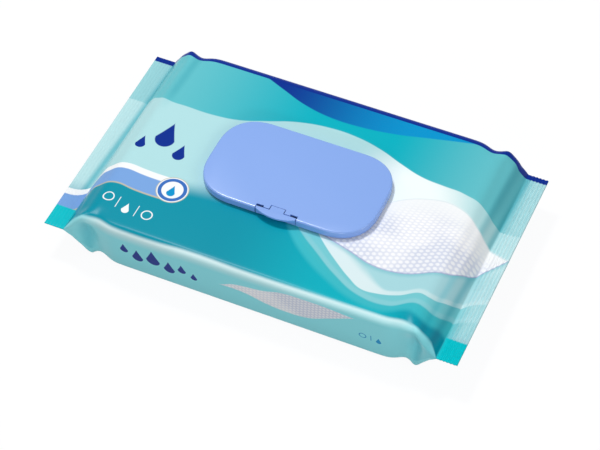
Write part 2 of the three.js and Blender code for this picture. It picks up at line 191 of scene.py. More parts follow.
# Thumb latch
NOTCH_WIDTH = 28 * mm
NOTCH_DEPTH = 2.35 * mm
NOTCH_STEP = 18 * mm
SLOT = 0.55 * mm
WIDE_SLOT = 1.8 * mm
TONGUE_WIDTH = 9.2 * mm
TONGUE_LENGTH = 3.4 * mm
LIP_REACH = 3.4 * mm
APRON_FRONT = 0.35 * mm
APRON_BACK = 1.35 * mm
HOOK_FRONT = 0.9 * mm
HOOK_BACK = 1.85 * mm
HOOK_HALF_HEIGHT = 0.5 * mm

# Studio floor
FLOOR_SIZE = 6
FLOOR_GAP = 0.02 * mm

# Camera, which looks at the pack from above its front right
FRAME_WIDTH = 600
SENSOR = 36
FOCAL_PIXELS = 2181.172
AZIMUTH = 0.4340
ELEVATION = 0.8710
ROLL_ANGLE = -0.0175
CAMERA_OFFSET = Vector((1.188 * mm, -14.649 * mm, 1388.115 * mm))


def rgb(red, green, blue):
    """A colour given in display values from 0 to 255, as the linear colour that a shader takes."""
    shares = [value / 255 for value in (red, green, blue)]
    linear = [s / 12.92 if s <= 0.04045 else ((s + 0.055) / 1.055) ** 2.4 for s in shares]
    return (*linear, 1.0)


def ease(t):
    t = min(max(t, 0.0), 1.0)
    return t * t * (3 - 2 * t)


def lerp(a, b, t):
    return a + (b - a) * t


def bump(value, fold):
    size, place, spread = fold
    return size * math.exp(-(((value - place) / spread) ** 2))


def make_camera():
    data = bpy.data.cameras.new("photo_camera")
    data.sensor_width = SENSOR
    data.lens = SENSOR * FOCAL_PIXELS / FRAME_WIDTH
    camera = bpy.data.objects.new("photo_camera", data)
    scene.collection.objects.link(camera)
    across = math.cos(ELEVATION)
    back = Vector((math.sin(AZIMUTH) * across, -math.cos(AZIMUTH) * across, math.sin(ELEVATION)))
    right = Vector((math.cos(AZIMUTH), math.sin(AZIMUTH), 0))
    up = back.cross(right)
    turn_cos = math.cos(ROLL_ANGLE)
    turn_sin = math.sin(ROLL_ANGLE)
    rows = Matrix((turn_cos * right + turn_sin * up, turn_cos * up - turn_sin * right, back))
    placed = rows.transposed()
    position = placed @ CAMERA_OFFSET + Vector((0, 0, SEAL_HEIGHT))
    camera.matrix_world = Matrix.Translation(position) @ placed.to_4x4()
    data.clip_end = 20
    scene.camera = camera


def select_only(obj):
    bpy.ops.object.select_all(action="DESELECT")
    obj.select_set(True)
    bpy.context.view_layer.objects.active = obj


def named(name):
    obj = bpy.context.object
    obj.name = name
    obj.data.name = name
    return obj


def settle(obj):
    """Puts the object's place, turn and scale into its mesh."""
    select_only(obj)
    bpy.ops.object.transform_apply(location=True, rotation=True, scale=True)


def apply_modifiers(obj):
    select_only(obj)
    for modifier in list(obj.modifiers):
        bpy.ops.object.modifier_apply(modifier=modifier.name)


def enter(mode):
    bpy.ops.object.mode_set(mode=mode)


def edit_all(obj):
    """Opens the whole mesh for editing."""
    select_only(obj)
    enter("EDIT")
    bpy.ops.mesh.select_all(action="SELECT")


def clear_selection(obj, kind):
    """Leaves no edge or face of the mesh selected."""
    select_only(obj)
    enter("EDIT")
    bpy.ops.mesh.select_mode(type=kind)
    bpy.ops.mesh.select_all(action="DESELECT")
    enter("OBJECT")


def select_faces(obj, wanted):
    """Selects the faces that the test accepts, and stays in edit mode."""
    clear_selection(obj, "FACE")
    for polygon in obj.data.polygons:
        polygon.select = wanted(polygon)
    enter("EDIT")


def select_edges(obj, wanted):
    """Selects the edges whose two ends the test accepts, and stays in edit mode."""
    clear_selection(obj, "EDGE")
    points = obj.data.vertices
    for edge in obj.data.edges:
        edge.select = wanted(*(points[i].co for i in edge.vertices))
    enter("EDIT")


def tidy_mesh(obj, angle=35):
    """Merges doubles, turns the faces outwards and smooths what isn't a sharp edge."""
    edit_all(obj)
    bpy.ops.mesh.remove_doubles(threshold=MERGE_DISTANCE)
    bpy.ops.mesh.normals_make_consistent(inside=False)
    enter("OBJECT")
    bpy.ops.object.shade_smooth_by_angle(angle=math.radians(angle))


def block(name, low, high):
    """A box between two corners."""
    centre = [(a + b) / 2 for a, b in zip(low, high)]
    bpy.ops.mesh.primitive_cube_add(size=1, location=centre)
    obj = named(name)
    obj.scale = [b - a for a, b in zip(low, high)]
    settle(obj)
    return obj


def combine(obj, operation, other):
    """Joins another piece to this one or cuts it away, and removes the other."""
    modifier = obj.modifiers.new("join", "BOOLEAN")
    modifier.operation = operation
    modifier.solver = "EXACT"
    modifier.object = other
    apply_modifiers(obj)
    bpy.data.objects.remove(other, do_unlink=True)


def rounded_plate(name, length, width, corner, bottom, top):
    """A plate with softly squared corners, lying flat."""
    bpy.ops.mesh.primitive_plane_add(size=1, location=(0, 0, bottom))
    obj = named(name)
    obj.scale = (length, width, 1)
    settle(obj)
    edit_all(obj)
    bpy.ops.mesh.bevel(
        offset=corner,
        offset_type="OFFSET",
        segments=CORNER_SEGMENTS,
        profile=CORNER_PROFILE,
        affect="VERTICES",
    )
    bpy.ops.mesh.select_all(action="SELECT")
    bpy.ops.mesh.extrude_region_move(TRANSFORM_OT_translate={"value": (0, 0, top - bottom)})
    bpy.ops.mesh.select_all(action="SELECT")
    bpy.ops.mesh.normals_make_consistent(inside=False)
    enter("OBJECT")
    return obj


def film_at(x):
    """Heights, half widths and folds of the film tube at a place along the pack."""
    from_seal = max(SEAL_LINE - abs(x), 0)
    top_share = 1 - (1 - min(from_seal / TOP_SHOULDER, 1)) ** TOP_SLOPE_POWER
    bottom_share = 1 - (1 - min(from_seal / BOTTOM_SHOULDER, 1)) ** BOTTOM_SLOPE_POWER
    half = SEAL_THICKNESS / 2
    top = SEAL_HEIGHT + lerp(half, BODY_HEIGHT - SEAL_HEIGHT, top_share)
    bottom = SEAL_HEIGHT - lerp(half, SEAL_HEIGHT, bottom_share)
    most = (top - bottom) * RADIUS_SHARE
    waist = bump(from_seal, WAIST)
    return SimpleNamespace(
        top=top,
        bottom=bottom,
        top_half=lerp(SEAL_SPAN, TOP_WIDTH, ease(top_share)) / 2 - waist,
        bottom_half=lerp(SEAL_SPAN, BOTTOM_WIDTH, ease(bottom_share)) / 2 - waist,
        top_radius=min(TOP_EDGE_RADIUS, most),
        bottom_radius=min(BOTTOM_EDGE_RADIUS, most),
        ear=bump(from_seal, EAR) - bump(from_seal, SAG),
        gusset=bump(from_seal, GUSSET),
        lift=bump(from_seal, LIFT) - bump(from_seal, LOBE),
        recess=FIN_RECESS * ease(bottom_share),
        roll=bump(from_seal, ROLL) - bump(from_seal, HOLLOW),
    )


def film_half_section(f):
    """Half of a section, from the middle of the bottom to the middle of the top: across, height."""
    points = []
    bottom_run = f.bottom_half - f.bottom_radius
    slope_end = FIN_RECESS_HALF + FIN_RECESS_SLOPE
    for i in range(RECESS_STEPS):
        y = slope_end * i / RECESS_STEPS
        past_recess = ease((y - FIN_RECESS_HALF) / FIN_RECESS_SLOPE)
        points.append((y, f.bottom + f.recess * (1 - past_recess)))
    for i in range(BOTTOM_STEPS):
        points.append((lerp(slope_end, bottom_run, i / BOTTOM_STEPS), f.bottom))
    for i in range(LOW_EDGE_STEPS):
        angle = (i / LOW_EDGE_STEPS - 1) * math.pi / 2
        points.append((
            bottom_run + f.bottom_radius * math.cos(angle),
            f.bottom + f.bottom_radius * (1 + math.sin(angle)),
        ))
    low = f.bottom + f.bottom_radius
    high = f.top - f.top_radius
    for i in range(SIDE_STEPS):
        share = i / SIDE_STEPS
        points.append((lerp(f.bottom_half, f.top_half, share), lerp(low, high, share)))
    top_run = f.top_half - f.top_radius
    for i in range(HIGH_EDGE_STEPS):
        angle = i / HIGH_EDGE_STEPS * math.pi / 2
        points.append((
            top_run + f.top_radius * math.cos(angle),
            high + f.top_radius * math.sin(angle),
        ))
    for i in range(TOP_STEPS + 1):
        points.append((top_run * (1 - i / TOP_STEPS), f.top))
    return points


def crimp(x):
    """Height of the ribs that the jaws press into an end seal."""
    along = abs(x) - CRIMP_START
    if along <= 0:
        return 0
    depth = CRIMP_DEPTH if x > 0 else CRIMP_DEPTH * LEFT_CRIMP_SHARE
    return depth * math.sin(along / CRIMP_PITCH * 2 * math.pi) * ease(along / CRIMP_PITCH)


def film_section(x):
    """One closed ring of the film at x: the folded and dented points."""
    f = film_at(x)
    top_run = f.top_half - f.top_radius
    tall = f.top - f.bottom
    half = []
    for y, z in film_half_section(f):
        height = (z - f.bottom) / tall
        up = ease((height - 0.5) * 2)
        down = ease((0.5 - height) * 2)
        dent = f.gusset * ease(y / f.top_half) * math.sin(math.pi * height) ** 2
        near_top = ease((y - f.top_half + FOLD_REACH) / FOLD_REACH)
        near_bottom = ease((y - f.bottom_half + FOLD_REACH) / FOLD_REACH)
        inward = dent if y > top_run - FOLD_REACH else 0
        raised = f.ear * up * near_top + f.lift * down * near_bottom + f.roll * up
        half.append((y - inward, z + raised + crimp(x)))
    mirrored = [(-y, z) for y, z in half[1:-1]]
    return half + mirrored[::-1]


def film_places():
    """Places along the pack: fine over the folded ends and finest over the crimped seals."""
    fold_start = SEAL_LINE - FOLDED_LENGTH
    middle = [fold_start * i / MIDDLE_STEPS for i in range(MIDDLE_STEPS + 1)]
    folded = [lerp(fold_start, SEAL_LINE, i / FOLDED_STEPS) for i in range(1, FOLDED_STEPS + 1)]
    sealed = [lerp(SEAL_LINE, PACK_LENGTH / 2, i / SEAL_STEPS) for i in range(1, SEAL_STEPS + 1)]
    half = middle + folded + sealed
    return [-x for x in half[:0:-1]] + half


def print_heights():
    """The way round the film from its top middle to each point of a ring, below 0 in front."""
    straight = film_half_section(film_at(0))
    run = [0.0]
    for (y0, z0), (y1, z1) in zip(straight, straight[1:]):
        run.append(run[-1] + math.hypot(y1 - y0, z1 - z0))
    back = [run[-1] - r for r in run]
    front = [-b for b in back[1:-1]]
    return back + front[::-1]


def crinkle(x, across, from_seal):
    """Fine unevenness of the film: soft all over, and creased where it is gathered to a seal."""
    soft = noise.noise(Vector((x * SOFT_WAVES, across * SOFT_WAVES, 0.5))) * SOFT_HEIGHT
    ripple = noise.noise(Vector((x * GATHERS_ALONG, across * GATHERS_ACROSS, 7.5)))
    return soft + ripple * bump(from_seal, GATHERS)


def skin(name, rings):
    """A closed tube through rings of points, with both of its ends closed."""
    count = len(rings[0])
    faces = []
    for i in range(len(rings) - 1):
        for j in range(count):
            k = (j + 1) % count
            a = i * count
            b = a + count
            faces.append((a + j, a + k, b + k, b + j))
    last = (len(rings) - 1) * count
    faces.append(tuple(range(count))[::-1])
    faces.append(tuple(last + j for j in range(count)))
    mesh = bpy.data.meshes.new(name)
    mesh.from_pydata([point for ring in rings for point in ring], [], faces)
    obj = bpy.data.objects.new(name, mesh)
    scene.collection.objects.link(obj)
    for polygon in mesh.polygons:
        polygon.use_smooth = True
    return obj


def lay_print(obj, places, across):
    """Gives the film its print map: along the pack, and the way round it from its top middle."""
    mesh = obj.data
    count = len(across)
    layer = mesh.uv_layers.new(name="print")
    for polygon in mesh.polygons:
        corners = []
        for loop in polygon.loop_indices:
            index = mesh.loops[loop].vertex_index
            corners.append((loop, places[index // count], across[index % count]))
        wraps = max(c[2] for c in corners) - min(c[2] for c in corners) > PACK_LENGTH / 2
        for loop, x, s in corners:
            if wraps and s > 0:
                s = -s
            layer.data[loop].uv = (x / PACK_LENGTH + 0.5, s / PACK_LENGTH + 0.5)


def make_film(material):
    places = film_places()
    across = print_heights()
    rings = []
    for x in places:
        from_seal = max(SEAL_LINE - abs(x), 0)
        body = ease(from_seal / SMOOTH_BY_SEAL)
        ring = []
        for (y, z), s in zip(film_section(x), across):
            push = crinkle(x, s, from_seal) * body
            if abs(y) > SIDE_HALF_WIDTH and abs(z - SEAL_HEIGHT) < SIDE_HALF_HEIGHT:
                ring.append((x, y + math.copysign(push, y), z))
            elif z > SEAL_HEIGHT:
                ring.append((x, y, z + push))
            else:
                ring.append((x, y, z))
        rings.append(ring)
    obj = skin("printed_pouch", rings)
    lay_print(obj, places, across)
    cut_film_hole(obj)
    obj.data.materials.append(material)
    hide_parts("film_pouch")
    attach(obj, "pack")


def make_fin(material):
    """The fin seal: a flap of film that lies folded flat under the bottom panel."""
    rings = []
    places = film_places()
    for x in places:
        f = film_at(x)
        film_height = f.bottom + f.recess + crimp(x)
        flap = film_height - max(f.recess, FIN_THICKNESS + FIN_GAP)
        edge = FIN_WIDTH + noise.noise(Vector((x * FIN_EDGE_WAVES, 0, 3.5))) * FIN_EDGE_HEIGHT
        rings.append([
            (x, 0, flap),
            (x, edge, flap),
            (x, edge, flap + FIN_THICKNESS),
            (x, FIN_ROOT, flap + FIN_THICKNESS),
            (x, FIN_ROOT, film_height),
            (x, 0, film_height),
        ])
    obj = skin("fin_seal", rings)
    lay_print(obj, places, [PACK_LENGTH / 2] * len(rings[0]))
    tidy_mesh(obj)
    obj.data.materials.append(material)
    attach(obj, "pack")


def cut_film_hole(obj):
    """Opens the top film below the lid frame, where the wipes come out."""

    def in_hole(polygon):
        c = polygon.center
        along = abs(c.x) / FILM_HOLE_HALF_LENGTH
        across = abs(c.y) / FILM_HOLE_HALF_WIDTH
        return along**2.3 + across**2.3 < 1 and c.z > SEAL_HEIGHT

    select_faces(obj, in_hole)
    bpy.ops.mesh.delete(type="FACE")
    enter("OBJECT")


class Shader:
    """Short ways to add and link nodes in a material or a node group."""

    def __init__(self, tree):
        self.tree = tree

    def node(self, kind, **values):
        node = self.tree.nodes.new(kind)
        for name, value in values.items():
            setattr(node, name, value)
        return node

    def link(self, source, target):
        self.tree.links.new(source, target)

    def feed(self, target, value):
        if isinstance(value, bpy.types.NodeSocket):
            self.link(value, target)
        else:
            target.default_value = value

    def math(self, operation, a, b=0.0, clamp=False):
        node = self.node("ShaderNodeMath", operation=operation, use_clamp=clamp)
        self.feed(node.inputs[0], a)
        self.feed(node.inputs[1], b)
        return node.outputs[0]

    def plus(self, a, b):
        return self.math("ADD", a, b)

    def minus(self, a, b):
        return self.math("SUBTRACT", a, b)

    def times(self, a, b):
        return self.math("MULTIPLY", a, b)

    def unsigned(self, a):
        return self.math("ABSOLUTE", a)

    def seen(self):
        """1 where a ray comes from the camera, from a mirror image or through something clear."""
        rays = self.node("ShaderNodeLightPath")
        direct = self.math("MAXIMUM", rays.outputs["Is Camera Ray"], rays.outputs["Is Glossy Ray"])
        return self.math("MAXIMUM", direct, rays.outputs["Is Transmission Ray"])

    def ramp(self, value, low, high, out_low=0.0, out_high=1.0, smooth=True):
        node = self.node("ShaderNodeMapRange")
        node.interpolation_type = "SMOOTHSTEP" if smooth else "LINEAR"
        self.feed(node.inputs["Value"], value)
        self.feed(node.inputs["From Min"], low)
        self.feed(node.inputs["From Max"], high)
        self.feed(node.inputs["To Min"], out_low)
        self.feed(node.inputs["To Max"], out_high)
        return node.outputs[0]

    def group(self, tree, **values):
        node = self.node("ShaderNodeGroup", node_tree=tree)
        for title, value in values.items():
            self.feed(node.inputs[title], value)
        return node.outputs[0]

    def noise(self, place, scale, detail):
        node = self.node("ShaderNodeTexNoise")
        self.feed(node.inputs["Vector"], place)
        self.feed(node.inputs["Scale"], scale)
        self.feed(node.inputs["Detail"], detail)
        return node.outputs["Fac"]

    def relief(self, height, strength, distance):
        """The normal of a surface with this height over it."""
        node = self.node("ShaderNodeBump")
        self.feed(node.inputs["Height"], height)
        self.feed(node.inputs["Strength"], strength)
        self.feed(node.inputs["Distance"], distance)
        return node.outputs["Normal"]

    def mix(self, mask, below, above, blend="MIX"):
        node = self.node("ShaderNodeMix", data_type="RGBA", blend_type=blend)
        self.feed(node.inputs[0], mask)
        self.feed(node.inputs[6], below)
        self.feed(node.inputs[7], above)
        return node.outputs[2]

    def line(self, along, points):
        """The height of a drawn line at a place along the pack, both in millimetres."""
        node = self.node("ShaderNodeFloatCurve")
        curve = node.mapping.curves[0]
        places = [[(value / PRINT_HALF + 1) / 2 for value in point] for point in points]
        curve.points[0].location = places[0]
        curve.points[1].location = places[-1]
        for place in places[1:-1]:
            curve.points.new(*place)
        node.mapping.update()
        share = self.ramp(along, -PRINT_HALF, PRINT_HALF, smooth=False)
        self.feed(node.inputs["Value"], share)
        return self.print_place(node.outputs[0])

    def print_place(self, share):
        """A share of the print map from 0 to 1, in millimetres from the middle of the print."""
        return self.ramp(share, 0.0, 1.0, -PRINT_HALF, PRINT_HALF, smooth=False)

    def above(self, across, line, soft=0.5):
        """1 where the print lies above a line, with an edge of this softness."""
        gap = self.minus(across, line)
        return self.ramp(gap, -soft, soft)


def new_material(name, values):
    """A material, the short ways to fill its node tree, and its shader with some values set."""
    material = bpy.data.materials.new(name)
    material.use_nodes = True
    shader = material.node_tree.nodes["Principled BSDF"]
    for title, value in values.items():
        shader.inputs[title].default_value = value
    return material, Shader(material.node_tree), shader


def new_group(name, inputs, output, output_type):
    """A node group with number inputs and one output, and short ways to fill it."""
    tree = bpy.data.node_groups.new(name, "ShaderNodeTree")
    for title in inputs:
        tree.interface.new_socket(name=title, in_out="INPUT", socket_type="NodeSocketFloat")
    tree.interface.new_socket(name=output, in_out="OUTPUT", socket_type=output_type)
    s = Shader(tree)
    given = s.node("NodeGroupInput").outputs
    result = s.node("NodeGroupOutput").inputs[output]
    return tree, s, given, result


def make_dots_group():
    """Round dots in staggered rows, from 0 between them to 1 on top of them."""
    inputs = ("Across", "Up", "Pitch")
    tree, s, given, result = new_group("embossed_dots", inputs, "Dots", "NodeSocketFloat")
    step = s.math("DIVIDE", 2 * math.pi / math.cos(math.pi / 6), given["Pitch"])
    total = 0.0
    for degrees in (-5, 55, 115):
        angle = math.radians(degrees)
        across = s.times(given["Across"], math.cos(angle))
        up = s.times(given["Up"], math.sin(angle))
        wave = s.math("COSINE", s.times(s.plus(across, up), step))
        total = s.plus(total, wave)
    s.link(s.ramp(total, -1.2, 1.2), result)
    return tree


def make_grain_group():
    """Fine unevenness of a surface, as a normal."""
    inputs = ("Scale", "Detail", "Strength", "Distance")
    tree, s, given, result = new_group("surface_grain", inputs, "Normal", "NodeSocketVector")
    place = s.node("ShaderNodeTexCoord").outputs["Object"]
    grain = s.noise(place, given["Scale"], given["Detail"])
    s.link(s.relief(grain, given["Strength"], given["Distance"]), result)
    return tree


# The print is drawn in millimetres from its middle, along the pack and across it
PRINT_HALF = PACK_LENGTH / 2 / mm
BADGE = (-69.5, -37.5)
FOLD_LEAN = 0.04

# Colours of the print, and of the painted shade, sheen and highlight
PALE_AQUA = rgb(178, 223, 227)
TURQUOISE = rgb(0, 176, 192)
SOFT_TURQUOISE = rgb(104, 194, 203)
TEAL = rgb(0, 146, 168)
BRIGHT_TURQUOISE = rgb(0, 194, 204)
NAVY = rgb(0, 44, 142)
AZURE = rgb(0, 148, 206)
LILAC = rgb(122, 166, 224)
SAND = rgb(196, 190, 168)
FOLD_SHADE = (0.18, 0.6, 0.68, 1)
WHITE = rgb(246, 249, 250)
# Painted sheen on the end seals
CRIMP_SHEEN = rgb(208, 238, 241)
# Painted highlight below the front top edge
PAINTED_HIGHLIGHT = rgb(226, 250, 252)
SIDE_AQUA = rgb(147, 234, 242)
GLOW = rgb(244, 254, 254)
BADGE_BLUE = rgb(58, 112, 190)
SHEET_SHADE = rgb(104, 186, 200)
SHEET_HEM = rgb(140, 152, 200)


def film_material():
    values = {"Roughness": 0.28, "Specular IOR Level": 0.08}
    material, s, shader = new_material("printed_film", values)
    print_map = s.node("ShaderNodeUVMap", uv_map="print")
    split = s.node("ShaderNodeSeparateXYZ")
    s.link(print_map.outputs[0], split.inputs[0])
    x = s.print_place(split.outputs[0])
    y = s.print_place(split.outputs[1])
    color = paint_top(s, x, y)
    color = paint_sides(s, x, y, color)
    color = paint_drops(s, x, y, color)
    color = paint_marks(s, x, y, color)
    s.link(color, shader.inputs["Base Color"])
    normal = s.group(surface_grain, Scale=160, Detail=3, Strength=0.08, Distance=0.4 * mm)
    s.link(normal, shader.inputs["Normal"])
    return material


def paint_top(s, x, y):
    """Colour of the top panel: fields of aqua, turquoise and teal between flowing lines."""
    back_line = s.line(x, [
        (-140, 36), (-128, 36), (-112, 33), (-92, 31), (-72, 31), (-56, 33.5), (-40, 39.5),
        (-22, 46.5), (0, 50.5), (20, 50), (38, 46), (54, 40), (70, 35), (86, 33.5), (102, 33),
        (112, 30), (122, 26.5), (140, 27),
    ])
    tint = s.ramp(x, -130, -5)
    fade = s.ramp(x, 40, 125)
    strongest = s.math("SUBTRACT", tint, fade, clamp=True)
    back_field = s.mix(strongest, SOFT_TURQUOISE, TURQUOISE)
    glow = disc(s, x, y, 68, 16, 52, 14)
    color = s.mix(glow, PALE_AQUA, GLOW)
    color = s.mix(s.above(y, back_line), color, back_field)

    crescent_line = s.line(x, [
        (-140, 83), (-80, 82), (-60, 77), (-42, 70), (-24, 63), (-4, 59), (18, 59), (40, 62),
        (62, 67.5), (86, 73.5), (108, 78.5), (140, 83),
    ])
    crescent = s.mix(s.ramp(x, -50, 60), NAVY, AZURE)
    color = s.mix(s.above(y, crescent_line), color, crescent)

    front_line = s.line(x, [
        (-140, -44), (-110, -42), (-80, -36), (-62, -32), (-42, -29), (-23, -28), (-8, -28),
        (4, -30), (12, -36), (24, -47), (48, -61), (69, -69), (86, -70), (101, -65), (140, -52),
    ])
    gap = s.minus(front_line, y)
    softness = s.ramp(x, -20, 10, 8, 0.8)
    below = s.ramp(gap, s.times(softness, -1), softness)
    lighter = s.minus(s.ramp(x, -30, 60), s.ramp(x, 84, 116))
    front_field = s.mix(lighter, TEAL, TURQUOISE)
    color = s.mix(below, color, front_field)
    color = paint_waves(s, x, y, color)
    # Painted sheen on the end seals, and painted shade in their crimps and in the folds beside
    # them.
    color = paint_seals(s, x, color)
    color = paint_end_fold_shade(s, x, y, color)
    color = paint_sheet(s, x, y, color)
    return paint_band(s, x, y, color)


def paint_seals(s, x, color):
    """The end seals are painted paler than the top, as a painted sheen of the crimped film: the
    left one at once, the right one outwards. The grooves between the crimp ribs get painted shade.
    """
    # Painted sheen: the left seal paler at once, the right one more so towards its outer edge.
    left = s.ramp(x, -125.8, -126.8, 0, 0.4)
    right = s.math("POWER", s.ramp(x, 126, 133.5, smooth=False), 0.7)
    painted_sheen = s.plus(left, s.times(right, 0.62))
    color = s.mix(painted_sheen, color, CRIMP_SHEEN)
    # Painted shade in the grooves between the crimp ribs.
    along = s.minus(s.unsigned(x), CRIMP_START / mm)
    wave = s.math("SINE", s.times(along, 2 * math.pi * mm / CRIMP_PITCH))
    strength = s.ramp(x, -1, 1, 0.06, 0.2)
    groove = s.times(s.ramp(wave, 0.4, -1), s.ramp(along, 0.2, 1))
    return paint_shade(s, s.times(groove, strength), color)


def paint_wave(s, x, y, color, line, near, far, depth, soft):
    """A flowing band, in one tone along its lower line and in another from a depth above it."""
    height = s.minus(y, line)
    tone = s.mix(s.ramp(height, s.times(depth, 0.5), depth), near, far)
    shown = s.times(s.ramp(x, 0, 6), s.ramp(y, 0, -30))
    mask = s.times(s.ramp(height, -soft, soft), shown)
    return s.mix(mask, color, tone)


def paint_waves(s, x, y, color):
    """Three flowing bands in front of the lid's right end, each over the one before."""
    low = s.line(x, [
        (-140, 0), (0, -24), (10, -37), (24, -50.5), (48, -65), (69, -73), (86, -74), (101, -69),
        (109, -69.5), (118, -69), (126, -62), (140, -57),
    ])
    middle = s.line(x, [
        (-140, 0), (0, -18), (18, -36), (33, -47), (50.6, -59), (70, -68), (89, -68.5), (103, -62),
        (111, -61), (119, -60), (127, -49), (140, -43),
    ])
    high = s.line(x, [
        (-140, 0), (0, 0), (20, -24), (35, -39), (48.6, -50), (60, -58), (69.6, -63), (80, -62.5),
        (93, -58.5), (103, -53.5), (111, -52.5), (119.6, -48), (128.6, -35), (140, -28),
    ])
    crest = s.mix(s.ramp(x, 70, 110), rgb(220, 239, 242), rgb(196, 229, 233))
    crest_depth = s.ramp(x, 66, 86, 17, 4.5)
    color = paint_wave(s, x, y, color, low, rgb(58, 186, 198), rgb(62, 186, 196), 7, 2.6)
    color = paint_wave(s, x, y, color, middle, rgb(134, 206, 214), rgb(118, 202, 210), 5, 0.9)
    return paint_wave(s, x, y, color, high, crest, rgb(168, 217, 224), crest_depth, 0.5)


def paint_sheet(s, x, y, color):
    """A white embossed sheet to the right of the lid."""
    upper = s.line(x, [
        (-140, -79), (40, -12), (58, 6), (68, 14), (80, 19.5), (92, 22), (102, 21), (111, 16.5),
        (119, 12), (126, 10), (140, 7),
    ])
    lower = s.line(x, [
        (-140, -70), (20, -30), (36, -34.5), (54, -39.5), (68, -43.5), (82, -43.5), (95, -40),
        (106, -34.5), (116, -28), (123, -19), (128, -9), (134, -1), (140, 7),
    ])
    inside = s.times(s.above(upper, y, soft=1.2), s.above(y, lower, soft=0.4))
    inside = s.times(inside, s.ramp(x, 20, 24))
    shadow = s.ramp(s.minus(lower, y), 4, -0.5, 0, 0.55)
    shadow = s.times(shadow, s.times(s.ramp(x, 24, 40), s.above(upper, y)))
    color = s.mix(shadow, color, SHEET_SHADE)
    rise = s.math("MAXIMUM", s.minus(y, lower), 0)
    turned_away = s.times(s.math("POWER", rise, 2), 0.0075)
    cloth = embossed_cloth(s, x, s.plus(y, turned_away), 4)
    bright = s.ramp(s.minus(upper, y), 24, 2, 0, 0.9)
    cloth = s.mix(bright, cloth, WHITE)
    hem = s.times(s.ramp(s.minus(y, lower), 1.3, 0.4), 0.7)
    return s.mix(inside, color, s.mix(hem, cloth, SHEET_HEM))


def embossed_cloth(s, x, y, pitch):
    """Printed picture of embossed cloth: white dots, with more shade between them in places."""
    place = s.node("ShaderNodeCombineXYZ")
    s.feed(place.inputs[0], x)
    s.feed(place.inputs[1], y)
    shade = s.ramp(s.noise(place.outputs[0], 0.028, 1), 0.38, 0.62)
    between = s.mix(shade, rgb(236, 239, 247), rgb(214, 220, 236))
    dots = s.mix(shade, rgb(254, 254, 255), rgb(243, 245, 250))
    mask = s.group(embossed_dots, Across=x, Up=y, Pitch=pitch)
    return s.mix(mask, between, dots)


def reach(s, a, b):
    """Length of the diagonal over two distances."""
    return s.math("SQRT", s.plus(s.math("POWER", a, 2), s.math("POWER", b, 2)))


def band(s, x, off_centre, end, half_height):
    """A band that comes in from the left and has a round right end, as 1 inside it."""
    past = s.math("MAXIMUM", s.minus(x, end - half_height), 0)
    return s.ramp(s.minus(reach(s, past, off_centre), half_height), 0.4, -0.4)


def paint_band(s, x, y, color):
    """A lilac band with a white edge at the left, and the bright corners of the seals."""
    centre = s.line(x, [
        (-140, -56.5), (-130, -54.5), (-122, -46.5), (-114, -41.5), (-104, -40), (-80, -40),
        (-50, -39), (140, -38),
    ])
    off_centre = s.minus(y, centre)
    color = s.mix(band(s, x, s.plus(off_centre, 0.5), -64, 7), color, SAND)
    color = s.mix(band(s, x, s.minus(off_centre, 3), -64, 8.2), color, WHITE)
    color = s.mix(band(s, x, off_centre, -64, 6.4), color, LILAC)
    color = s.mix(disc(s, x, y, *BADGE, 10.9, 10.3), color, SAND)
    color = s.mix(disc(s, x, y, *BADGE, 10.3, 9.9), color, WHITE)
    color = s.mix(ring(s, x, y, *BADGE, 8.2, 2.4), color, BADGE_BLUE)
    color = s.mix(drop(s, x, y, BADGE[0], BADGE[1] - 1.5, 3), color, AZURE)
    on_seal = s.ramp(s.unsigned(x), 125.8, 126.8)
    corner = s.times(on_seal, s.ramp(y, -59.5, -60.5))
    return s.mix(corner, color, BRIGHT_TURQUOISE)


def paint_shade(s, mask, color):
    """Paints shade into a colour where the mask is 1."""
    return s.mix(mask, color, FOLD_SHADE, blend="MULTIPLY")


def paint_end_fold_shade(s, x, y, color):
    """Painted shade in the soft folds beside the end seals."""
    lean = s.times(y, FOLD_LEAN)
    towards_back = s.ramp(y, 20, 45)
    folds = [
        (-127.5, 4.4, 0.8, 1),
        (-108, 5, 0.35, towards_back),
        (118.2, 3.4, 0.4, 1),
        (119.5, 9, 0.16, towards_back),
        (124.8, 2.6, 0.55, 1),
    ]
    for place, half_width, strength, where in folds:
        off = s.unsigned(s.minus(s.minus(x, lean), place))
        mask = s.times(s.ramp(off, half_width, 0, 0, strength), where)
        color = paint_shade(s, mask, color)
    return color


def from_centre(s, x, y, centre_x, centre_y):
    """Distance from the middle of a round mark."""
    return reach(s, s.minus(x, centre_x), s.minus(y, centre_y))


def disc(s, x, y, centre_x, centre_y, outer, inner):
    """A round spot, as 1 within its inner radius and 0 past its outer one."""
    return s.ramp(from_centre(s, x, y, centre_x, centre_y), outer, inner)


def ring(s, x, y, centre_x, centre_y, radius, width):
    """A drawn ring, as 1 on its line."""
    distance = from_centre(s, x, y, centre_x, centre_y)
    off_line = s.unsigned(s.minus(distance, radius))
    return s.ramp(off_line, width / 2 + 0.15, width / 2 - 0.15)


def bar(s, x, y, centre_x, centre_y, width, height):
    """A small upright bar, as 1 inside it."""
    across = s.unsigned(s.minus(x, centre_x))
    up = s.unsigned(s.minus(y, centre_y))
    beside = s.ramp(across, width / 2 + 0.15, width / 2 - 0.15)
    return s.times(beside, s.ramp(up, height / 2 + 0.15, height / 2 - 0.15))


def paint_marks(s, x, y, color):
    """A row of small plain marks on the teal field, and a few on the front side."""
    marks = [
        (ring(s, x, y, -104, -59.5, 3.4, 0.8), WHITE),
        (bar(s, x, y, -96.5, -60.5, 0.5, 9), WHITE),
        (drop(s, x, y, -89.5, -63, 2.7), WHITE),
        (bar(s, x, y, -82.5, -62, 0.5, 9), WHITE),
        (ring(s, x, y, -75, -62.5, 3.4, 0.8), WHITE),
        (ring(s, x, y, 78, -102, 2.2, 0.6), AZURE),
        (bar(s, x, y, 83.5, -102, 0.5, 5.5), AZURE),
        (drop(s, x, y, 88.5, -103, 1.9), AZURE),
    ]
    for mask, tone in marks:
        color = s.mix(mask, color, tone)
    return color


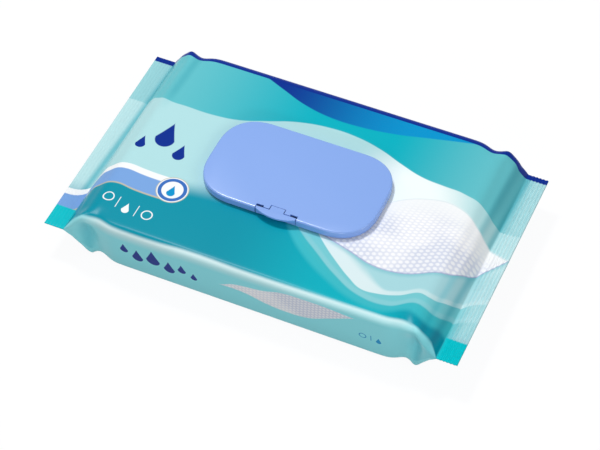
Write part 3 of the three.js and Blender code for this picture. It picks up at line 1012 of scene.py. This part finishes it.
def drop(s, x, y, centre_x, centre_y, size):
    """The outline of a falling drop, as 1 inside it."""
    across = s.math("DIVIDE", s.minus(x, centre_x), size)
    up = s.math("DIVIDE", s.minus(y, centre_y), size)
    narrow = s.ramp(up, -0.35, 1.9, 1, 0, smooth=False)
    wide = s.math("POWER", narrow, 1.15)
    low = s.math("MAXIMUM", s.minus(-0.35, up), 0)
    return s.ramp(s.minus(wide, reach(s, across, low)), 0, 0.1)


def paint_drops(s, x, y, color):
    """Three navy drops on the top, and a row of smaller ones on the front side."""
    on_top = ((-93, 2, 7), (-79, -8, 4.4), (-106, -9, 3.6))
    on_side = (
        (-84, -97, 3), (-75, -101, 4), (-64, -98, 5), (-53, -102, 4), (-44, -99, 3),
        (-36, -103, 2.4),
    )
    for centre_x, centre_y, size in on_top + on_side:
        color = s.mix(drop(s, x, y, centre_x, centre_y, size), color, NAVY)
    return color


def paint_sides(s, x, y, color):
    """Colour of the sides and the bottom: pale at the front, with a painted highlight below its top
    edge and painted shade in the dimples near the ends and towards the right end; navy at the back.
    """
    front_edge = s.line(x, [
        (-140, -78), (-100, -78.5), (-85, -79.2), (-60, -79), (-40, -77.8), (0, -78.1), (60, -77.2),
        (90, -76.6), (140, -76.6),
    ])
    past_edge = s.minus(front_edge, y)
    front = s.ramp(past_edge, -1.2, 1.7)
    body_only = s.ramp(s.unsigned(x), 126.6, 125.6)
    front = s.times(front, body_only)
    # Painted highlight on the front side just below its top edge, fading near the ends.
    depth = s.ramp(x, -60, 80, 10.5, 7.5)
    edge_highlight = s.math("POWER", s.ramp(past_edge, depth, 1.2, smooth=False), 1.4)
    edge_highlight = s.times(edge_highlight, s.ramp(s.unsigned(x), 98, 118, 1, 0.1))
    edge_highlight = s.times(edge_highlight, s.ramp(x, 20, 90, 1, 0.85))
    side_color = s.mix(edge_highlight, SIDE_AQUA, PAINTED_HIGHLIGHT)
    # Painted shade in the dimples of the front side near each end.
    off_dimple = s.unsigned(s.minus(s.unsigned(x), 112))
    dimple_shade = s.times(s.ramp(off_dimple, 6, 0), s.ramp(past_edge, 3, 9, 0, 0.4))
    side_color = paint_shade(s, dimple_shade, side_color)
    # Painted shade on the front side towards the right end.
    side_color = paint_shade(s, s.ramp(x, 108, 122, 0, 0.3), side_color)
    color = s.mix(front, color, side_color)
    color = paint_side_sheet(s, x, y, color)
    navy_start = s.ramp(s.unsigned(x), 126, 118, 72, 74.8)
    color = s.mix(s.above(y, navy_start, soft=0.3), color, NAVY)
    below_side = s.ramp(s.unsigned(y), 114, 116)
    return s.mix(below_side, color, SIDE_AQUA)


def paint_side_sheet(s, x, y, color):
    """A small white embossed sheet on the front side."""
    upper = s.line(x, [
        (-140, -112), (-18, -100), (-9, -95), (12.7, -90), (24, -85.5), (41, -84.2), (55, -84.4),
        (72, -86), (140, -90),
    ])
    lower = s.line(x, [
        (-140, -98), (-18, -100), (-9, -99.5), (1, -100.5), (12.7, -104), (24, -105.5), (41, -104),
        (55, -96.5), (72, -86.5), (140, -60),
    ])
    inside = s.times(s.above(upper, y, soft=0.4), s.above(y, lower, soft=0.4))
    return s.mix(inside, color, embossed_cloth(s, x, y, 2.8))


def moulded_material():
    values = {"Base Color": rgb(126, 164, 233), "Roughness": 0.25, "Specular IOR Level": 0.7}
    material, s, shader = new_material("moulded_lid", values)
    normal = s.group(surface_grain, Scale=1400, Detail=2, Strength=0.08, Distance=0.05 * mm)
    s.link(normal, shader.inputs["Normal"])
    return material


def wipe_material():
    """Moist nonwoven: embossed dots, with fine fibres between them."""
    material, s, shader = new_material("wet_nonwoven", {"Roughness": 0.55})
    coords = s.node("ShaderNodeTexCoord").outputs["Object"]
    split = s.node("ShaderNodeSeparateXYZ")
    s.link(coords, split.inputs[0])
    x = s.times(split.outputs[0], 1 / mm)
    y = s.times(split.outputs[1], 1 / mm)
    dots = s.group(embossed_dots, Across=x, Up=y, Pitch=2.6)
    # Greyer between the raised dots: painted shade in the hollows of the embossing.
    s.link(s.mix(dots, rgb(226, 230, 236), rgb(246, 248, 250)), shader.inputs["Base Color"])
    height = s.plus(dots, s.times(s.noise(coords, 1100, 3), 0.5))
    s.link(s.relief(height, 0.5, 0.25 * mm), shader.inputs["Normal"])
    return material


def stack_half_width(x):
    """Half the width of the stack at x, where the film leaves it that much room."""
    side_points = film_section(x)[SIDE_START:SIDE_END]
    return min(STACK_WIDTH / 2, min(abs(y) for y, z in side_points) - STACK_PLAY)


def stack_side(half):
    """One side of the stack from its bottom to its top, with a ridge for each fold."""
    points = []
    tall = STACK_TOP - STACK_BOTTOM
    steps = STACK_FOLDS * 4
    for i in range(steps + 1):
        rise = tall * i / steps
        round_off = STACK_EDGE_RADIUS - min(rise, tall - rise, STACK_EDGE_RADIUS)
        drawn_in = STACK_EDGE_RADIUS - math.sqrt(STACK_EDGE_RADIUS**2 - round_off**2)
        groove = FOLD_NOTCH * abs(math.cos(math.pi * i / 4)) ** 3
        points.append((half - drawn_in - groove, STACK_BOTTOM + rise))
    return points


def make_wipes():
    """The stack of interfolded wipes. The free edge of the top sheet lies across the opening."""
    rings = []
    half_length = STACK_LENGTH / 2
    shares = [j / STACK_TOP_STEPS for j in range(1, STACK_TOP_STEPS)]
    for i in range(STACK_SECTIONS + 1):
        x = lerp(-half_length, half_length, i / STACK_SECTIONS)
        side = stack_side(stack_half_width(x))
        top_run = side[-1][0]
        top = [(lerp(top_run, LEADING_EDGE, share), -WIPE_THICKNESS) for share in shares]
        top.append((LEADING_EDGE, -WIPE_THICKNESS))
        upper_edge = LEADING_EDGE - LEADING_EDGE_STEP
        top += [(lerp(upper_edge, -top_run, share), 0) for share in [0] + shares]
        ring = [(x, y, z) for y, z in side]
        for y, drop_height in top:
            soft = noise.noise(Vector((x * WIPE_WAVES, y * WIPE_WAVES, 2.5))) * WIPE_WAVE_HEIGHT
            across = (y - LEADING_EDGE) / CURL_HALF_WIDTH
            along = x / CURL_HALF_LENGTH
            curl = CURL_HEIGHT * math.exp(-(across**2) - along**2) if drop_height == 0 else 0
            ring.append((x, y, STACK_TOP + drop_height + min(soft, WIPE_HIGHEST_WAVE) + curl))
        ring += [(x, -y, z) for y, z in side[::-1]]
        rings.append(ring)
    obj = skin("wipe_sheets", rings)
    tidy_mesh(obj, 60)
    obj.data.materials.append(wipe_material())
    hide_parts("wipe_stack")
    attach(obj, "pack")


def latch_cutter(name, bottom, top):
    """The space that the latch fills in the lid's front edge."""
    front = -LID_WIDTH / 2
    back = front + NOTCH_DEPTH
    widened = back + WIDE_SLOT - SLOT
    pocket = back + TONGUE_LENGTH
    half = NOTCH_WIDTH / 2
    far = front - 10 * mm
    whole = block(name, (-half, far, bottom), (half, back, top))
    tongue_half = TONGUE_WIDTH / 2 + SLOT
    tongue_room = block("tongue_room", (-tongue_half, far, bottom), (tongue_half, pocket, top))
    combine(whole, "UNION", tongue_room)
    for side in (-1, 1):
        inner, outer = sorted((side * NOTCH_STEP / 2, side * half))
        combine(whole, "UNION", block("slot_room", (inner, far, bottom), (outer, widened, top)))
    return whole


def opening_plate(name, margin, bottom, top):
    """A plate with the outline of the dispensing opening, made larger by a margin."""
    return rounded_plate(
        name,
        OPENING_LENGTH + 2 * margin,
        OPENING_WIDTH + 2 * margin,
        OPENING_CORNER + margin,
        bottom,
        top,
    )


def lid_plate(name, inset, bottom, top):
    """A plate with the outline of the lid, drawn in by an inset."""
    return rounded_plate(
        name, LID_LENGTH - 2 * inset, LID_WIDTH - 2 * inset, LID_CORNER - inset, bottom, top
    )


def soften(obj, width):
    """Rounds the sharp edges of a moulding by a little."""
    rounding = obj.modifiers.new("soft_edges", "BEVEL")
    rounding.width = width
    rounding.segments = 3
    rounding.limit_method = "ANGLE"
    rounding.angle_limit = math.radians(50)
    apply_modifiers(obj)


def make_lid_frame(material):
    """The ring glued to the film: flange, collar round the opening, stiffening rim and catch."""
    obj = lid_plate("lid_ring", FLANGE_INSET, FLANGE_BOTTOM, FLANGE_TOP)
    half = HINGE_LENGTH / 2
    back = LID_WIDTH / 2
    combine(obj, "UNION", block(
        "hinge_root", (-half, back - HINGE_ROOT_DEPTH, FLANGE_BOTTOM), (half, back, FLANGE_TOP)
    ))
    combine(obj, "DIFFERENCE", block(
        "latch_space",
        (-NOTCH_WIDTH / 2, -back - mm, FLANGE_BOTTOM - mm),
        (NOTCH_WIDTH / 2, -back + APRON_BACK + mm, FLANGE_TOP + mm),
    ))
    rim_top = FLANGE_TOP + RIM_HEIGHT
    root = FLANGE_BOTTOM + RIM_ROOT
    rim = lid_plate("rim", RIM_INSET, root, rim_top)
    inner = lid_plate("rim_space", RIM_INSET + RIM_WALL, FLANGE_BOTTOM - mm, rim_top + mm)
    combine(rim, "DIFFERENCE", inner)
    combine(obj, "UNION", rim)
    combine(obj, "UNION", block(
        "catch",
        (-CATCH_WIDTH / 2, -back + RIM_INSET - CATCH_REACH, rim_top - CATCH_HEIGHT),
        (CATCH_WIDTH / 2, -back + RIM_INSET + RIM_WALL / 2, rim_top),
    ))
    collar_top = LID_TOP - LID_PLATE - 0.3 * mm
    combine(obj, "UNION", opening_plate("collar", COLLAR_WALL, root, collar_top))
    combine(obj, "DIFFERENCE", opening_plate("opening", 0, FLANGE_BOTTOM - mm, collar_top + mm))
    soften(obj, 0.15 * mm)
    tidy_mesh(obj)
    obj.data.materials.append(material)
    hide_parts("lid_frame")
    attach(obj, "pack")


def make_lid_cover(material):
    obj = lid_plate("lid_shell", 0, SKIRT_BOTTOM, LID_TOP)
    select_edges(obj, lambda a, b: min(a.z, b.z) > LID_TOP - HEIGHT_TOLERANCE)
    bpy.ops.mesh.bevel(
        offset=LID_EDGE_RADIUS, segments=LID_EDGE_STEPS, profile=0.5, affect="EDGES"
    )
    enter("OBJECT")
    select_edges(obj, lambda a, b: max(a.z, b.z) < SKIRT_BOTTOM + HEIGHT_TOLERANCE)
    bpy.ops.mesh.bevel(
        offset=SKIRT_ROUNDING, segments=SKIRT_ROUNDING_STEPS, profile=0.5, affect="EDGES"
    )
    enter("OBJECT")
    select_faces(obj, lambda p: p.normal.z < -0.9)
    bpy.ops.mesh.inset(thickness=LID_SKIRT - SKIRT_ROUNDING)
    underside = LID_TOP - LID_PLATE
    hollow = underside - SKIRT_BOTTOM
    bpy.ops.mesh.extrude_region_move(TRANSFORM_OT_translate={"value": (0, 0, hollow)})
    enter("OBJECT")
    tidy_mesh(obj)
    plug_inset = COLLAR_WALL + PLUG_GAP
    plug = opening_plate("plug", plug_inset + mm, underside - PLUG_DEPTH, underside + 0.5 * mm)
    plug_space = opening_plate("plug_space", plug_inset, underside - 5 * mm, underside + 2 * mm)
    combine(plug, "DIFFERENCE", plug_space)
    combine(obj, "UNION", plug)
    combine(obj, "DIFFERENCE", latch_cutter("latch_room", SKIRT_BOTTOM - mm, LID_TOP + mm))
    hinge_half = HINGE_LENGTH / 2 + SLOT
    combine(obj, "DIFFERENCE", block(
        "hinge_room",
        (-hinge_half, LID_WIDTH / 2 - LID_SKIRT - mm, SKIRT_BOTTOM - mm),
        (hinge_half, LID_WIDTH / 2 + mm, FLANGE_TOP + 0.3 * mm),
    ))
    tidy_mesh(obj)
    obj.data.materials.append(material)
    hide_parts("lid_cover")
    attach(obj, "lid")


def make_latch(material):
    front = -LID_WIDTH / 2
    half = NOTCH_WIDTH / 2 - SLOT
    back = front + NOTCH_DEPTH - SLOT
    plate_bottom = LID_TOP - LID_PLATE
    tongue_end = front + NOTCH_DEPTH + TONGUE_LENGTH - 0.3 * mm
    radius = (half**2 + LIP_REACH**2) / (2 * LIP_REACH)
    bpy.ops.mesh.primitive_cylinder_add(
        vertices=160,
        radius=radius,
        depth=LID_PLATE,
        location=(0, front - LIP_REACH + radius, plate_bottom + LID_PLATE / 2),
    )
    obj = named("latch_plate")
    settle(obj)
    combine(obj, "INTERSECT", block(
        "lip_part", (-half, front - LIP_REACH - mm, plate_bottom - mm), (half, back, LID_TOP + mm)
    ))
    tongue_half = TONGUE_WIDTH / 2
    combine(obj, "UNION", block(
        "tongue", (-tongue_half, front, plate_bottom), (tongue_half, tongue_end, LID_TOP)
    ))
    combine(obj, "UNION", block(
        "apron",
        (-half, front + APRON_FRONT, SKIRT_BOTTOM + 0.3 * mm),
        (half, front + APRON_BACK, LID_TOP - LID_PLATE / 2),
    ))
    soften(obj, 0.35 * mm)
    hook_half = CATCH_WIDTH / 2
    combine(obj, "UNION", block(
        "hook",
        (-hook_half, front + HOOK_FRONT, FLANGE_TOP - HOOK_HALF_HEIGHT),
        (hook_half, front + HOOK_BACK, FLANGE_TOP + HOOK_HALF_HEIGHT),
    ))
    tidy_mesh(obj)
    obj.data.materials.append(material)
    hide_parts("thumb_latch")
    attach(obj, "latch")


def make_hinge(material):
    """The thin strip at the back of the lid that bends when the lid opens."""
    joint_y = LID_WIDTH / 2 + HINGE_BEHIND_LID
    joint_z = FLANGE_TOP + HINGE_ABOVE_FLANGE
    half = HINGE_LENGTH / 2
    obj = block(
        "hinge_strip",
        (-half, joint_y - 0.25 * mm, joint_z - 0.85 * mm),
        (half, joint_y + 0.1 * mm, joint_z + 0.95 * mm),
    )
    edit_all(obj)
    bpy.ops.mesh.subdivide(number_cuts=HINGE_CUTS)
    enter("OBJECT")
    tidy_mesh(obj)
    obj.data.materials.append(material)
    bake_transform(obj)


def make_stage():
    """A pale floor that stays white to the camera and keeps the pack's shadow."""
    bpy.ops.mesh.primitive_plane_add(size=FLOOR_SIZE, location=(0, 0, -FLOOR_GAP))
    floor = named("studio_floor")
    values = {"Roughness": 0.9, "Specular IOR Level": 0.0, "Emission Strength": 1.0}
    material, s, shader = new_material("studio_white", values)
    seen = s.seen()
    s.link(s.mix(seen, rgb(165, 167, 170), rgb(72, 73, 75)), shader.inputs["Base Color"])
    s.link(s.mix(seen, (0, 0, 0, 1), (0.94, 0.94, 0.945, 1)), shader.inputs["Emission Color"])
    floor.data.materials.append(material)


def make_world():
    world = bpy.data.worlds.new("studio")
    scene.world = world
    world.use_nodes = True
    s = Shader(world.node_tree)
    world.node_tree.nodes.clear()
    seen = s.seen()
    background = s.node("ShaderNodeBackground")
    background.inputs["Color"].default_value = (1, 1, 1, 1)
    s.link(s.ramp(seen, 0.0, 1.0, 0.33, 1.0, smooth=False), background.inputs["Strength"])
    output = s.node("ShaderNodeOutputWorld")
    s.link(background.outputs[0], output.inputs[0])


def make_lamp(name, place, target, width, height, power):
    bpy.ops.object.light_add(type="AREA", location=place)
    lamp = bpy.context.object
    lamp.name = name
    lamp.data.shape = "RECTANGLE"
    lamp.data.size = width
    lamp.data.size_y = height
    lamp.data.energy = power
    direction = Vector(target) - Vector(place)
    lamp.rotation_euler = direction.to_track_quat("-Z", "Y").to_euler()


make_camera()
make_stage()
make_world()
make_lamp("top_softbox", (-0.42, 0.3, 1.2), (0, 0, 0), 0.18, 0.18, 9.4)
make_lamp("left_softbox", (-1.1, 0.1, 0.6), (0, 0, 0), 0.4, 0.4, 0.6)
make_lamp("right_softbox", (1.05, -0.1, 0.68), (0, 0, 0), 0.5, 0.5, 2.6)
make_lamp("front_strip", (0.3, -1.25, 0.5), (0, 0, 0.03), 0.9, 0.12, 4.6)
scene.view_settings.view_transform = "Standard"

embossed_dots = make_dots_group()
surface_grain = make_grain_group()
printed_film = film_material()
make_film(printed_film)
make_fin(printed_film)
moulded = moulded_material()
make_lid_cover(moulded)
make_latch(moulded)
make_hinge(moulded)
make_lid_frame(moulded)
make_wipes()
